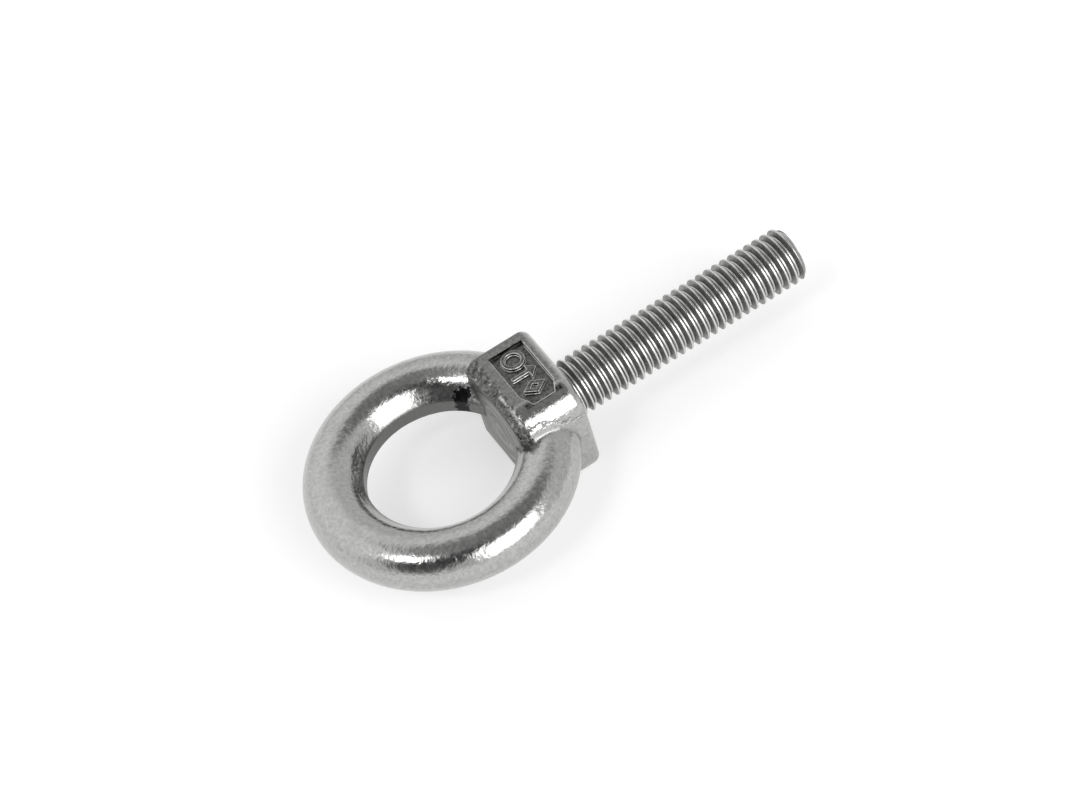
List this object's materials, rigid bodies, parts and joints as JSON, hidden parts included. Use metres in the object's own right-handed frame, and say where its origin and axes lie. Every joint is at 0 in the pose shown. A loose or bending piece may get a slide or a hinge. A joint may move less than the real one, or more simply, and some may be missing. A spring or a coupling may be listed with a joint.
{
  "type": "lifting eye bolt",
  "caption": "Stainless lifting eye bolt with a round eye, a square neck block with a flat seating face, and a long threaded stud.",
  "frame": {"origin": "centre of the flat seating face, on the bolt axis", "axes": "+X along the bolt axis towards the thread tip, +Z square to the plane of the eye, +Y completes the right-handed frame"},
  "size_m": [0.0713, 0.0358, 0.0138],
  "materials": {
    "cast_stainless": "polished investment casting, fine tumbled grain",
    "thread_stainless": "bright rolled thread",
    "weld_stainless": "ground flush with circular dressing marks"
  },
  "bodies": {
    "root": {"eye_body": "cast_stainless", "threaded_stud": "thread_stainless", "lock_weld": "weld_stainless"}
  },
  "joints": []
}
